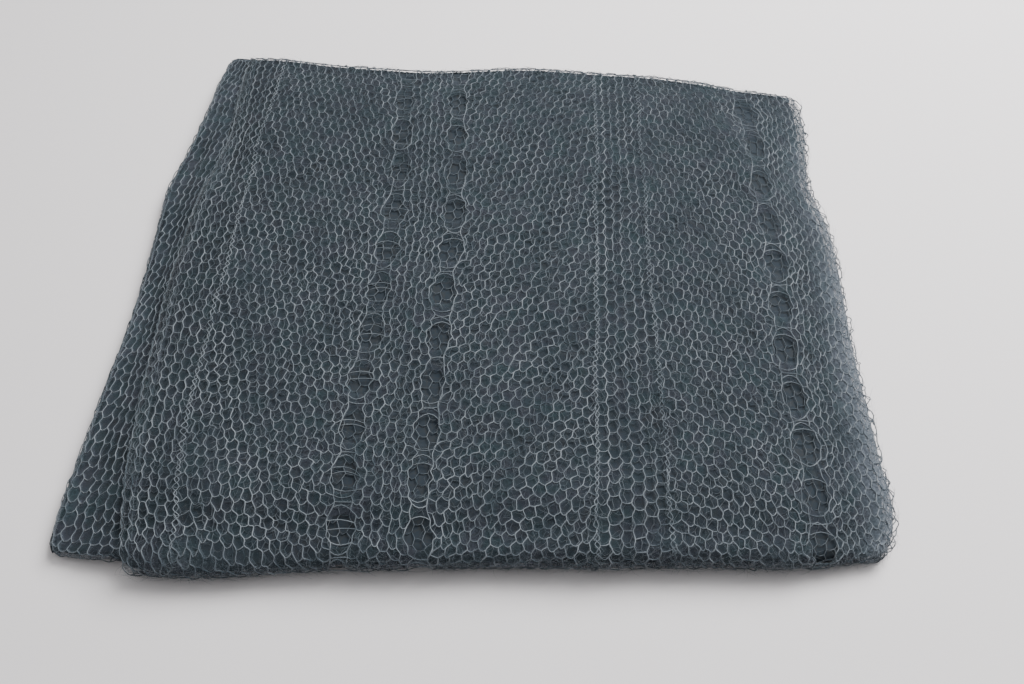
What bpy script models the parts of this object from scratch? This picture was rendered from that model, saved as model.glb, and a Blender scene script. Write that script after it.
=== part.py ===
"""Folded lace shawl, lying flat: a knitted stole folded into a soft packet.

Metres, +Z up. +X runs across the packet, +Y to its back, and the origin is the
centre of the underside. Every layer is the same packet surface, a little deeper
in: the top panel outside, the fold that shows at its left, and one rounded
solid for the layers inside.
"""

import math

import bpy
import numpy as np

# Cloth and the clear space between two layers
WALL = 0.0016
GAP = 0.0003
LAYER = WALL + GAP

# Height of the packet at its crest, and where each side's roll begins
CREST = 0.0245
FRONT_RIM = 0.0210
BACK_RIM = 0.0190
RIGHT_RIM = 0.0150
LEFT_RIM = 0.0135

# How far in from each side the packet starts to slope down
FRONT_SHOULDER = 0.030
BACK_SHOULDER = 0.060
RIGHT_SHOULDER = 0.075
LEFT_SHOULDER = 0.060

# Flat ring between the core of the packet and its rolls, which rounds the corners
RING = 0.006

# The plan's own centre, taken off so that the origin is under the middle
PLAN_CENTRE = (0.000075, -0.002085)

# Outline seen from above, as (place along the side, edge)
RIGHT_EDGE = [(-0.175, 0.2120), (-0.155, 0.2185), (-0.120, 0.2235), (-0.060, 0.2205),
              (0.000, 0.2200), (0.045, 0.2190), (0.080, 0.2135), (0.120, 0.2170),
              (0.160, 0.2140)]
LEFT_EDGE = [(-0.180, -0.2215), (-0.100, -0.2205), (-0.020, -0.2195), (0.030, -0.2215),
             (0.065, -0.2240), (0.100, -0.2185), (0.140, -0.2130), (0.185, -0.2135)]
FRONT_EDGE = [(-0.215, -0.1880), (-0.140, -0.1880), (-0.060, -0.1870), (0.020, -0.1860),
              (0.110, -0.1840), (0.170, -0.1820), (0.205, -0.1765)]
BACK_EDGE = [(-0.205, 0.1975), (-0.190, 0.1935), (-0.153, 0.1860), (-0.115, 0.1785),
             (-0.065, 0.1765), (-0.030, 0.1800), (0.040, 0.1855), (0.115, 0.1790),
             (0.160, 0.1690), (0.200, 0.1600)]

# Free edge of the top panel, which lies on the left fold, as (y, x)
PANEL_EDGE = [(-0.210, -0.1720), (-0.185, -0.1785), (-0.143, -0.1850), (-0.095, -0.1900),
              (-0.060, -0.1935), (-0.025, -0.1965), (0.010, -0.1950), (0.045, -0.1930),
              (0.072, -0.1890), (0.106, -0.1860), (0.157, -0.1900), (0.190, -0.1920)]
EDGE_MEAN = -0.1860
EDGE_BLEND = 0.060
TUCK = 0.006

# The top panel swells forward over the left end of the front fold
TIP_SWELL = 0.0090
TIP_PLACE = -0.178
TIP_REACH = 0.055

# Main folds: start x, y, end x, y, rise, half-width
FOLDS = [
    (-0.205, 0.165, -0.197, 0.085, 0.0022, 0.0085),
    (-0.190, 0.170, -0.176, 0.060, -0.0014, 0.0080),
    (-0.192, 0.060, -0.188, -0.150, 0.0014, 0.0100),
    (0.196, 0.110, 0.203, -0.120, -0.0016, 0.0110),
    (0.150, 0.150, 0.185, 0.020, 0.0012, 0.0160),
    (-0.150, -0.150, 0.120, -0.155, 0.0009, 0.0160),
]

# Soft unevenness of the stacked layers: height, length of a swell across and along
SWELL_HEIGHT = 0.0007
SWELL_ACROSS = 0.105
SWELL_ALONG = 0.130
SWELL_START = 0.8

# Step to each side of a point for its normal, and the angle that stays a sharp edge
NORMAL_STEP = 0.0002
SHARP_ANGLE = 50

# Eyelet columns of the top panel, and the rows of stitches between eyelets
EYELET_COLUMNS = (-0.0650, -0.0275, 0.1760)
EYELET_COUNT = 11
EYELET_WIDTH = 0.0125
EYELET_LENGTH = 0.0120
EYELET_CELL = 0.0160
FIRST_CELL_SET_BACK = 0.0045
FIRST_ROW = -0.1730
ROW_PITCH = 0.0068
ROW_GROWTH = 0.0000256
ROWS_PER_EYELET = 4
EYELET_CORNERS = 8

# Turns of a roll, in degrees from the top of the packet
SIDE_TURNS = (22, 45, 70, 95, 120, 145)
LEFT_TURNS = (22, 45, 70, 90)
BACK_TURNS = (22, 44, 62)
CORE_TURN = 151
STEP_TURN = 4

# Folded edges of the inner layers, seen below the outer cloth at the back and left
BACK_LAYERS = 4
LEFT_LAYERS = 2
NOSE_DEPTH = 0.0002
VALLEY_DEPTH = 0.0030
STATIONS_PER_LAYER = 3

# Cell sizes of the walls where nothing else sets them
EDGE_CELLS = (0.016, 0.030, 0.046, 0.062, 0.078, 0.095)
PLAIN_CELLS = 13
SETTLING_PASSES = 5

TEAL_GREY = (0.060, 0.082, 0.102, 1.0)
TEAL_SHADE = (0.045, 0.064, 0.080, 1.0)
INNER_GREY = (0.034, 0.047, 0.060, 1.0)


def clear_scene():
    """Empty the scene of every object."""
    for thing in list(bpy.data.objects):
        bpy.data.objects.remove(thing, do_unlink=True)


def cloth_material(name, colour):
    """Soft matt wool of one colour."""
    material = bpy.data.materials.new(name)
    material.use_nodes = True
    shader = material.node_tree.nodes["Principled BSDF"]
    shader.inputs["Base Color"].default_value = colour
    shader.inputs["Roughness"].default_value = 0.9
    shader.inputs["Metallic"].default_value = 0.0
    return material


def through(rows, place):
    """Smooth curve through rows of (place, value), level beyond its two ends."""
    knots, values = np.array(rows).T
    slopes = np.gradient(values, knots)
    slopes[0] = slopes[-1] = 0.0
    place = np.clip(place, knots[0], knots[-1])
    left = np.clip(np.searchsorted(knots, place, side="right") - 1, 0, len(knots) - 2)
    span = knots[left + 1] - knots[left]
    t = (place - knots[left]) / span
    leaving = (1 + 2 * t) * (1 - t) ** 2 * values[left] + t * (1 - t) ** 2 * span * slopes[left]
    coming = t * t * (3 - 2 * t) * values[left + 1] - t * t * (1 - t) * span * slopes[left + 1]
    return leaving + coming


def core_sides(a, b):
    """Left, right, front and back sides of the packet's core at cloth point a, b."""
    left = through(LEFT_EDGE, b) + RING + LEFT_RIM / 2
    right = through(RIGHT_EDGE, b) - RING - RIGHT_RIM / 2
    front = through(FRONT_EDGE, a) + RING + FRONT_RIM / 2
    back = through(BACK_EDGE, a) - RING - BACK_RIM / 2
    return left, right, front, back


def shoulder(distance, width, rim):
    """Share of the crest's height, from 1 inside the shoulder to rim at the side."""
    slope = np.clip(1 - distance / width, 0, 1) ** 2
    return 1 - (1 - rim / CREST) * slope


def fold_height(x, y):
    """Sum of the main folds: a bell across each fold's line, fading past its ends."""
    height = np.zeros_like(x)
    for x0, y0, x1, y1, rise, half_width in FOLDS:
        run_x, run_y = x1 - x0, y1 - y0
        t = ((x - x0) * run_x + (y - y0) * run_y) / (run_x ** 2 + run_y ** 2)
        t = np.clip(t, 0, 1)
        off = np.hypot(x - x0 - t * run_x, y - y0 - t * run_y)
        height += rise * np.exp(-(off / half_width) ** 2)
    return height


def stack_height(x, y, sides):
    """Height of the packet over a point of its core."""
    left, right, front, back = sides
    height = CREST * shoulder(x - left, LEFT_SHOULDER, LEFT_RIM)
    height = height * shoulder(right - x, RIGHT_SHOULDER, RIGHT_RIM)
    height = height * shoulder(y - front, FRONT_SHOULDER, FRONT_RIM)
    height = height * shoulder(back - y, BACK_SHOULDER, BACK_RIM)
    across = np.sin(2 * math.pi * x / SWELL_ACROSS + SWELL_START)
    along = np.sin(2 * math.pi * y / SWELL_ALONG)
    return height + fold_height(x, y) + SWELL_HEIGHT * across * along


def on_core(a, b):
    """Core point under cloth point a, b, the way out from it, and the turn there."""
    sides = core_sides(a, b)
    left, right, front, back = sides
    x = np.clip(a, left, right)
    y = np.clip(b, front, back)
    radius = stack_height(x, y, sides) / 2
    out_x, out_y = a - x, b - y
    beyond = np.maximum(np.abs(out_x), np.abs(out_y))
    turn = np.clip((beyond - RING) / radius, 0, math.pi)
    return x, y, out_x, out_y, beyond, radius, turn


def packet_point(a, b):
    """Point of the packet's outer face for cloth coordinates a, b.

    Over the core the cloth lies at the stack's height. Past the core it runs flat
    for the ring's width, then turns down on a circle half the stack's height in
    radius. Round a corner the turn fans out from the core's own corner.
    """
    x, y, out_x, out_y, beyond, radius, turn = on_core(a, b)
    reach = np.minimum(beyond, RING) + radius * np.sin(turn)
    length = np.hypot(out_x, out_y)
    length = np.where(length > 0, length, 1)
    return np.stack([x + reach * out_x / length - PLAN_CENTRE[0],
                     y + reach * out_y / length - PLAN_CENTRE[1],
                     radius + radius * np.cos(turn)], axis=-1)


def packet_normal(a, b):
    """Unit normal of the packet's face, from points a small step to each side."""
    along_a = packet_point(a + NORMAL_STEP, b) - packet_point(a - NORMAL_STEP, b)
    along_b = packet_point(a, b + NORMAL_STEP) - packet_point(a, b - NORMAL_STEP)
    normal = np.cross(along_a, along_b)
    return normal / np.linalg.norm(normal, axis=-1, keepdims=True)


def layer_point(a, b, depth):
    """Point a given depth under the packet's outer face."""
    return packet_point(a, b) - packet_normal(a, b) * np.asarray(depth)[..., None]


def tip_swell(a, b):
    """How far forward the top panel swells over the left end of the front fold."""
    _, _, _, out_y, _, _, turn = on_core(a, b)
    rolled = np.sin(np.minimum(turn, math.pi / 2)) ** 2 * (out_y < 0)
    return TIP_SWELL * rolled * np.exp(-((a - TIP_PLACE) / TIP_REACH) ** 2)


def roll_length(place_a, place_b, turn):
    """Cloth from the core's side to a turn, in degrees, of the roll beside it."""
    radius = stack_height(place_a, place_b, core_sides(place_a, place_b)) / 2
    return RING + math.radians(turn) * radius


def column_place(kind, value, b):
    """Where a column of the grid lies across the packet, at places b along it."""
    left, right, _, _ = core_sides(np.zeros_like(b), b)
    edge = through(PANEL_EDGE, b)
    if kind == "left turn":
        _, _, front, back = core_sides(left, b)
        return left - roll_length(left, np.clip(b, front, back), value)
    if kind == "left flat":
        return edge + (left - RING - edge) * value
    if kind == "from edge":
        return edge + value
    if kind == "flat":
        near = np.clip(1 - (value - EDGE_MEAN) / EDGE_BLEND, 0, 1)
        return value + (edge - EDGE_MEAN) * near
    _, _, front, back = core_sides(right, b)
    return right + roll_length(right, np.clip(b, front, back), value)


def row_place(kind, value, a):
    """Where a row of the grid lies along the packet, at places a across it."""
    _, _, front, back = core_sides(a, np.zeros_like(a))
    if kind == "front turn":
        left, right, _, _ = core_sides(a, front)
        return front - roll_length(np.clip(a, left, right), front, value)
    if kind == "flat":
        return np.full_like(a, value)
    if kind == "back flat":
        last = eyelet_row(EYELET_COUNT - 1) + EYELET_CELL / 2
        return last + (back + RING - last) * value
    left, right, _, _ = core_sides(a, back)
    return back + roll_length(np.clip(a, left, right), back, value)


def grid(columns, rows):
    """Cloth coordinates of every crossing of the columns and rows.

    A column's place depends on the row and a row's on the column, so both are
    worked out again a few times until they settle.
    """
    across = np.zeros((len(rows), len(columns)))
    along = np.zeros((len(rows), len(columns)))
    for _ in range(SETTLING_PASSES):
        places = [column_place(kind, value, along[:, index])
                  for index, (kind, value) in enumerate(columns)]
        across = np.stack(places, axis=1)
        places = [row_place(kind, value, across[index])
                  for index, (kind, value) in enumerate(rows)]
        along = np.stack(places, axis=0)
    return across, along


def eyelet_row(number):
    """Place of an eyelet along its column: stitch rows grow a little to the back."""
    row = number * ROWS_PER_EYELET
    return FIRST_ROW + ROW_PITCH * row + ROW_GROWTH * row * row


def flat_columns():
    """Columns between the top panel's edge and its right roll."""
    places = [EDGE_MEAN + step for step in EDGE_CELLS]
    half = EYELET_CELL / 2
    first, second, last = EYELET_COLUMNS
    places += [first - half, first + half, (first + second) / 2, second - half, second + half]
    plain = np.linspace(second + half, last - half, PLAIN_CELLS + 1)
    places += list(plain[1:]) + [last + half]
    return [("flat", float(place)) for place in sorted(places)]


def flat_rows():
    """Rows that bound each eyelet's cell, the first one starting at the front roll."""
    half = EYELET_CELL / 2
    places = [eyelet_row(0) + half + FIRST_CELL_SET_BACK]
    for number in range(1, EYELET_COUNT):
        places += [eyelet_row(number) - half, eyelet_row(number) + half]
    return [("flat", place) for place in places]


def all_rows(front_turns):
    """Rows from the end of the front roll to the lip at the back."""
    rows = [("front turn", turn) for turn in reversed((0,) + front_turns)]
    rows += flat_rows() + [("back flat", 0.5)]
    return rows + [("back turn", turn) for turn in (0,) + BACK_TURNS]


def grid_triangles(row_count, column_count, skipped=()):
    """Two triangles for each cell of a grid but the skipped ones, facing out."""
    triangles = []
    for row in range(row_count - 1):
        for column in range(column_count - 1):
            if (row, column) in skipped:
                continue
            near = row * column_count + column
            far = near + column_count
            triangles += [(near, near + 1, far + 1), (near, far + 1, far)]
    return triangles


def eyelet_ring(corners, first):
    """Triangles from a cell's four corners to the eyelet's rim, cut in the cell."""
    triangles = []
    for side in range(4):
        here = first + 2 * side
        after = first + (2 * side + 1) % EYELET_CORNERS
        before = first + (2 * side - 1) % EYELET_CORNERS
        corner, ahead = corners[side], corners[(side + 1) % 4]
        triangles += [(corner, here, before), (corner, ahead, after), (corner, after, here)]
    return triangles


def rim_edges(triangles):
    """Edges that only one triangle has, in that triangle's own direction."""
    directed = {(t[k], t[(k + 1) % 3]) for t in triangles for k in range(3)}
    return [edge for edge in directed if (edge[1], edge[0]) not in directed]


def add_object(name, points, faces, material):
    """Named object from points and faces, shaded smooth but for its rims."""
    mesh = bpy.data.meshes.new(name)
    mesh.from_pydata([tuple(point) for point in points], [], faces)
    mesh.validate()
    mesh.materials.append(material)
    mesh.shade_smooth()
    mesh.set_sharp_from_angle(angle=math.radians(SHARP_ANGLE))
    thing = bpy.data.objects.new(name, mesh)
    bpy.context.scene.collection.objects.link(thing)
    return thing


def eyelet_points(surface, cells):
    """Rim points of every eyelet, spread over its cell between the four corners."""
    turns = math.pi / EYELET_CORNERS * (2 * np.arange(EYELET_CORNERS) - 5)
    s = (0.5 + EYELET_WIDTH / EYELET_CELL / 2 * np.cos(turns))[:, None]
    t = (0.5 + EYELET_LENGTH / EYELET_CELL / 2 * np.sin(turns))[:, None]
    rims = [(1 - s) * (1 - t) * surface[near] + s * (1 - t) * surface[right]
            + s * t * surface[far] + (1 - s) * t * surface[left]
            for near, right, far, left in cells]
    return np.vstack([surface] + rims)


def add_wall(name, a, b, triangles, outer_depth, swell, material, cells=()):
    """Wall of cloth between two depths, closed along its edges and its eyelets."""
    forward = np.zeros((len(a), 3))
    forward[:, 1] = swell
    outer = layer_point(a, b, np.full_like(a, outer_depth)) - forward
    inner = layer_point(a, b, np.full_like(a, outer_depth + WALL)) - forward
    outer, inner = eyelet_points(outer, cells), eyelet_points(inner, cells)
    count = len(outer)
    faces = list(triangles)
    faces += [(p + count, r + count, q + count) for p, q, r in triangles]
    for start, end in sorted(rim_edges(triangles)):
        faces += [(end, start, start + count), (end, start + count, end + count)]
    return add_object(name, np.vstack([outer, inner]), faces, material)


def add_top_panel(material):
    """Outer layer: from its free left edge, round the front and right rolls."""
    columns = [("from edge", 0.0), ("from edge", TUCK)] + flat_columns()
    columns += [("right turn", turn) for turn in (0,) + SIDE_TURNS]
    rows = all_rows(SIDE_TURNS)
    across, along = grid(columns, rows)
    eyelet_columns = [index for index, (kind, value) in enumerate(columns)
                      if kind == "flat" and any(abs(value + EYELET_CELL / 2 - place) < 1e-6
                                                for place in EYELET_COLUMNS)]
    first_row = len(SIDE_TURNS)
    eyelet_rows = [first_row + 2 * number for number in range(EYELET_COUNT)]
    holes = [(row, column) for row in eyelet_rows for column in eyelet_columns]
    triangles = grid_triangles(len(rows), len(columns), set(holes))
    a, b = across.ravel(), along.ravel()
    cells = []
    for row, column in holes:
        near = row * len(columns) + column
        cells.append((near, near + 1, near + 1 + len(columns), near + len(columns)))
        triangles += eyelet_ring(cells[-1], len(a) + EYELET_CORNERS * (len(cells) - 1))
    return add_wall("top_panel", a, b, triangles, 0.0, tip_swell(a, b), material, cells)


def left_columns():
    """Columns from the left roll to where the left fold tucks under the panel."""
    columns = [("left turn", turn) for turn in reversed(LEFT_TURNS)]
    columns += [("left flat", share) for share in (1.0, 0.5)]
    return columns + [("from edge", 0.0), ("from edge", TUCK)]


def add_left_fold(material):
    """Layer that shows beyond the panel's edge and turns down at the left."""
    columns = left_columns()
    rows = all_rows(SIDE_TURNS)
    across, along = grid(columns, rows)
    triangles = grid_triangles(len(rows), len(columns))
    a, b = across.ravel(), along.ravel()
    return add_wall("left_fold", a, b, triangles, LAYER, np.zeros_like(a), material)


def layered_side(layers, start):
    """Turns and depths of the inner layers' folded edges, one nose for each layer."""
    count = layers * STATIONS_PER_LAYER
    share = np.arange(1, count + 1) / count
    turns = start + (CORE_TURN - start) * share
    nose = np.abs(np.sin(math.pi * layers * share))
    return turns.tolist(), VALLEY_DEPTH + (NOSE_DEPTH - VALLEY_DEPTH) * nose


def add_hidden_layers(material):
    """Every layer inside, as one rounded solid with a flat underside."""
    left_start = LEFT_TURNS[-1] + STEP_TURN
    back_start = BACK_TURNS[-1] + STEP_TURN
    left_noses, left_depths = layered_side(LEFT_LAYERS, left_start)
    back_noses, back_depths = layered_side(BACK_LAYERS, back_start)
    turns = SIDE_TURNS[:-1] + (CORE_TURN,)
    columns = [("left turn", turn) for turn in reversed([left_start] + left_noses)]
    columns += left_columns()
    under_left_fold = len(columns)
    columns += flat_columns()
    columns += [("right turn", turn) for turn in (0,) + turns]
    rows = all_rows(turns) + [("back turn", back_start)]
    under_panel = len(rows)
    rows += [("back turn", turn) for turn in back_noses]
    across, along = grid(columns, rows)
    depth = np.full(across.shape, LAYER)
    depth[:, :under_left_fold] = 2 * LAYER
    depth[:, :len(left_noses)] = left_depths[::-1]
    depth[under_panel:] = back_depths[:, None]
    shell = layer_point(across, along, depth).reshape(-1, 3)
    triangles = grid_triangles(len(rows), len(columns))
    follows = dict(rim_edges(triangles))
    loop = [0]
    while follows[loop[-1]] != loop[0]:
        loop.append(follows[loop[-1]])
    underside = shell[loop] * (1, 1, 0)
    first = len(shell)
    faces = list(triangles)
    for step, start in enumerate(loop):
        after = (step + 1) % len(loop)
        faces += [(loop[after], start, first + step), (loop[after], first + step, first + after)]
    faces.append([first + step for step in reversed(range(len(loop)))])
    return add_object("hidden_layers", np.vstack([shell, underside]), faces, material)


def main():
    clear_scene()
    add_top_panel(cloth_material("top_panel_wool", TEAL_GREY))
    add_left_fold(cloth_material("left_fold_wool", TEAL_SHADE))
    add_hidden_layers(cloth_material("hidden_layers_wool", INNER_GREY))


main()
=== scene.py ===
"""Folded lace shawl: its yarn, its layers and the stage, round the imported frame.

The shawl is one knitted cloth folded into a packet. Every layer follows the same
packet surface, a little deeper in. The outer layer is a net of real yarn over a
thin film of brushed fibre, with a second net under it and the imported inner
layers below. Metres, +Z up.
"""

import math

import bpy
import numpy as np
from bpy.props import FloatProperty, FloatVectorProperty, IntProperty, PointerProperty
from bpy.types import Operator, Panel, PropertyGroup
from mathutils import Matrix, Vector


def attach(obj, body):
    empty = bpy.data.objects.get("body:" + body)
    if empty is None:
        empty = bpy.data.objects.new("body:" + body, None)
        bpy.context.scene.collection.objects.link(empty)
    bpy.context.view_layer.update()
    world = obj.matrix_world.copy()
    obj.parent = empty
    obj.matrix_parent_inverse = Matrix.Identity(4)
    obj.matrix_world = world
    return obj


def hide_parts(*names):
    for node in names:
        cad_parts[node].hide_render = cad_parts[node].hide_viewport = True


bl_info = {
    "name": "Folded lace shawl",
    "version": (1, 0, 0),
    "blender": (4, 5, 0),
    "location": "3D View > Sidebar > Shawl",
    "description": "Builds a folded lace shawl of knitted yarn and its stage",
    "category": "Object",
}

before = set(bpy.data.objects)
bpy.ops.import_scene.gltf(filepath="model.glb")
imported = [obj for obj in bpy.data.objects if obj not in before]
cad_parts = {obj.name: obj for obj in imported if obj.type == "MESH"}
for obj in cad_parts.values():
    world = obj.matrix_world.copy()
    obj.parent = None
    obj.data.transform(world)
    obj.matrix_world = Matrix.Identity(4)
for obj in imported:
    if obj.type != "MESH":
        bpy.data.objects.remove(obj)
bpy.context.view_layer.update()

# The packet's form, as the frame has it
WALL = 0.0016
GAP = 0.0003
LAYER = WALL + GAP
CREST = 0.0245
FRONT_RIM = 0.0210
BACK_RIM = 0.0190
RIGHT_RIM = 0.0150
LEFT_RIM = 0.0135
FRONT_SHOULDER = 0.030
BACK_SHOULDER = 0.060
RIGHT_SHOULDER = 0.075
LEFT_SHOULDER = 0.060
RING = 0.006
PLAN_CENTRE = (0.000075, -0.002085)

# Outline seen from above, as (place along the side, edge)
RIGHT_EDGE = [(-0.175, 0.2155), (-0.155, 0.2200), (-0.120, 0.2200), (-0.060, 0.2190),
              (0.000, 0.2200), (0.045, 0.2190), (0.080, 0.2135), (0.120, 0.2170),
              (0.160, 0.2190)]
LEFT_EDGE = [(-0.180, -0.2235), (-0.100, -0.2205), (-0.020, -0.2195), (0.030, -0.2215),
             (0.065, -0.2240), (0.100, -0.2185), (0.140, -0.2130), (0.185, -0.2135)]
FRONT_EDGE = [(-0.215, -0.1935), (-0.140, -0.1890), (-0.060, -0.1885), (0.020, -0.1860),
              (0.110, -0.1825), (0.170, -0.1815), (0.205, -0.1800)]
BACK_EDGE = [(-0.205, 0.2050), (-0.190, 0.2000), (-0.153, 0.1920), (-0.115, 0.1860),
             (-0.065, 0.1830), (-0.030, 0.1850), (0.040, 0.1875), (0.115, 0.1810),
             (0.160, 0.1750), (0.200, 0.1745)]

# Free edge of the top panel, which lies on the left fold, as (y, x)
PANEL_EDGE = [(-0.210, -0.1705), (-0.185, -0.1770), (-0.143, -0.1845), (-0.095, -0.1900),
              (-0.060, -0.1935), (-0.025, -0.1965), (0.010, -0.1950), (0.045, -0.1930),
              (0.072, -0.1890), (0.106, -0.1860), (0.157, -0.1900), (0.190, -0.1920)]

# How far the lower layer runs under that edge, and the swell and haze at its front tip
TUCK = 0.006
SWELL_TUCK = 0.014
TIP_SWELL = 0.0070
TIP_PLACE = -0.138
TIP_REACH = 0.055
TIP_HAZE = 0.020

# Main folds: start x, y, end x, y, rise, half-width
FOLDS = [
    (-0.205, 0.165, -0.197, 0.085, 0.0022, 0.0085),
    (-0.190, 0.170, -0.176, 0.060, -0.0014, 0.0080),
    (-0.192, 0.060, -0.188, -0.150, 0.0014, 0.0100),
    (0.196, 0.110, 0.203, -0.120, -0.0016, 0.0110),
    (0.150, 0.150, 0.185, 0.020, 0.0012, 0.0160),
    (-0.150, -0.150, 0.120, -0.155, 0.0009, 0.0160),
]

# Slow swells of the top, the step that gives normals, and the lowest that yarn may lie
SWELL_HEIGHT = 0.0007
SWELL_ACROSS = 0.105
SWELL_ALONG = 0.130
SWELL_START = 0.8
NORMAL_STEP = 0.0002
LOWEST = 0.0006

# What changes as the cloth turns down at its right, left, back and front: how far the nets
# stand off, the film of fibre rises and the inner layers sink, how much dimmer the yarn is
# painted, as painted shade, and how much thicker the film grows and paler it is painted, as
# painted light
LOOSE = (0.0020, 0.0004, 0.0002, 0.0003)
RISE = (0.0012, 0.0006, 0.0008, 0.0004)
SINK = (0.0030, 0, 0, 0)
RIM_SHADE = (0.6, 1, 1, 1.8)
RIM_HAZE_AND_PAINTED_LIGHT = (0, 0.55, 0.65, 0.4)
LOOSE_TURN = 75
LOOSE_SIZE = 0.008
LOOSE_UNEVEN = 0.9

# Waves that make up the smooth noise, the shortest of them and how much longer they grow
WAVES = 7
SHORTEST_WAVE = 0.7
WAVE_SPREAD = 0.8

# Where the film is painted pale at the right side, as painted light through its loose fibre, and
# how that fades towards the back
PALE_START = 0.010
PALE_REACH = 0.024
PALE_FADE = 0.55
PALE_BACK = 0.12

# Depth of the film and its wall, and of the inner layers below what covers them
FILM_DEPTH = 0.0008
FILM_WALL = 0.0003
CORE_GAP = 0.0010
UNDER_FOLD = 0.7
UNDER_REACH = 0.004

# Rows of stitches along the columns, and how far each roll turns down, in degrees
FIRST_ROW = -0.1730
ROW_PITCH = 0.0068
ROW_GROWTH = 0.0000256
HALF_ROWS = np.arange(-11, 108)
EYELET_PERIOD = 8
ROLL_TURN = 146
LIP_TURN = 62
LEFT_TURN = 98
LEFT_FRONT_TURN = 140
UNDER_TURN = 125
UNDER_LIP_TURN = LIP_TURN - 6
CORE_TURN = 151

# Folded edges of the inner layers, and the yarn on them, as (whether at the back, reach
# to each side, first turn, layers, seed)
NOSE_DEPTH = 0.0004
VALLEY_DEPTH = 0.0030
BACK_LAYERS = 4
LEFT_LAYERS = 2
BACK_NOSES_TURN = 66
LEFT_NOSES_TURN = 94
EDGE_ROWS = ((True, 0.212, LIP_TURN + 2, BACK_LAYERS, 31),
             (False, 0.180, LEFT_NOSES_TURN - 6, LEFT_LAYERS, 32))
EDGE_SWAY = 0.0011
EDGE_UNEVEN = 0.0004

# Columns of the pattern, as (y, x): spines where stitches meet, and eyelet columns
SPINE_A = [(-0.173, -0.1510), (-0.145, -0.1560), (-0.110, -0.1595), (-0.060, -0.1600),
           (0.000, -0.1610), (0.190, -0.1620)]
SPINE_B = [(-0.173, 0.0630), (0.000, 0.0655), (0.190, 0.0680)]
SPINE_C = [(-0.173, 0.1005), (-0.030, 0.0985), (0.190, 0.0985)]
EYELETS_1 = [(-0.173, -0.0665), (-0.145, -0.0685), (-0.100, -0.0675), (-0.028, -0.0650),
             (0.042, -0.0622), (0.108, -0.0645), (0.150, -0.0672)]
EYELETS_2 = [(-0.173, -0.0270), (-0.145, -0.0290), (-0.100, -0.0278), (-0.028, -0.0260),
             (0.042, -0.0243), (0.108, -0.0276), (0.150, -0.0300)]
EYELETS_3 = [(-0.173, 0.1775), (-0.110, 0.1757), (-0.050, 0.1738), (0.006, 0.1775),
             (0.060, 0.1760), (0.108, 0.1772), (0.150, 0.1740)]
EYELET_COLUMNS = (EYELETS_1, EYELETS_2, EYELETS_3)

# How far each border column's rows lie in front of those of the eyelets, as chevrons
BORDER_DROPS = (-0.030, -0.034, 0, 0, 0, 0, -0.031, -0.029, 0, 0, 0.002)
LEFT_DROPS = (-0.016, 0)
UNDER_DROPS = (0.004, -0.004)

# Sections between the border columns: the way they lean, and their number of cells where
# straight or their stitch width where leaning
STRAIGHT = 0
LEAN_LEFT = -1
LEAN_RIGHT = 1
EYELETS = None
SECTIONS = [(STRAIGHT, 6), (LEAN_LEFT, 0.0049), EYELETS, (STRAIGHT, 6), EYELETS,
            (LEAN_RIGHT, 0.0050), (STRAIGHT, 6), (LEAN_LEFT, 0.0045), EYELETS, (STRAIGHT, 12)]
SPINE_BORDERS = (1, 6, 7)
LEFT_CELLS = 9
UNDER_CELLS = 73
UNDER_START = 0.002
UNDER_LOFT = 0.9

# Strands of the panel's rolled free edge, as (how far out, depth, tone, seed), and how
# far the edges run, as (start, end, points). The strands' tones are dim, dimmest where
# deepest, as painted shade along the edge.
FREE_EDGE = [(0.0004, 0.0006, 0.30, 21),
             (0.0008, 0.0011, 0.20, 22),
             (0.0006, 0.0016, 0.10, 23)]
FREE_RUN = (-0.175, 0.183, 260)
LIP_RUN = (-0.188, 0.214, 280)

# Form of one stitch, in shares of its width
ZIGZAG = 0.135
ZIGZAG_RANGE = (0.65, 1.3)
BORDER_RANGE = (0.6, 1.3)
SPINE_WAVE = 0.9
SPINE_WIDTH = 0.7
LEAN_STEP = 0.25
BORDER_MARGIN = 0.42

# Unevenness across and along, as (size of the slow drift, its share, each stitch's share)
DRIFTS = ((0.045, 0.9, 0.24), (0.050, 0.8, 0.40))
LIFT_SHARE = 0.25

# Thickness of the yarn, as shares of its radius, and how deep its strands lie
YARN_RANGE = (0.82, 1.22)
EDGE_WEIGHT = 0.85
SPINE_WEIGHT = 0.92
LINK_SIZE = 0.92
LINK_SAG = 0.0008
LINK_DEPTH = 0.6
RUNG_DEPTH = 0.3
RUNG_STEPS = 4

# Tone of the yarn: its nets, the lower ones dimmed as painted shade, its patches, each stitch,
# the painted shade of the deeper links and rungs and of the turned-down sides, and how much it
# dims towards the back
TOP_TONE = 0.62
LOWER_PAINTED_SHADE_TONE = 0.5
LIP_TONE = 0.4
EDGE_TONE = 0.45
PATCH_SIZES = (0.06, 0.016)
PATCH_TONE = 0.12
STITCH_TONE = 0.17
EDGE_STITCH_TONE = 0.15
COLUMN_TONE = 0.10
LINK_PAINTED_SHADE = 0.12
RUNG_PAINTED_SHADE = 0.05
RIM_PAINTED_SHADE = 0.25
BACK_DARKER = 0.27
BACK_REACH = 0.15

# Loose fibres: where they grow and how low they may hang, and their length, lift, bend,
# taper and tone
HALO_STEEP = 6
HALO_RIGHT = 34
HALO_LOWEST = 0.004
HALO_FLOOR = 0.0004
HALO_LENGTHS = (0.5, 1.5)
HALO_LIFTS = (0.05, 0.40)
HALO_BEND = 0.55
HALO_TAPER = np.array([1.0, 0.9, 0.75, 0.4])
HALO_TONES = (0.20, 0.65)

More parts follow.
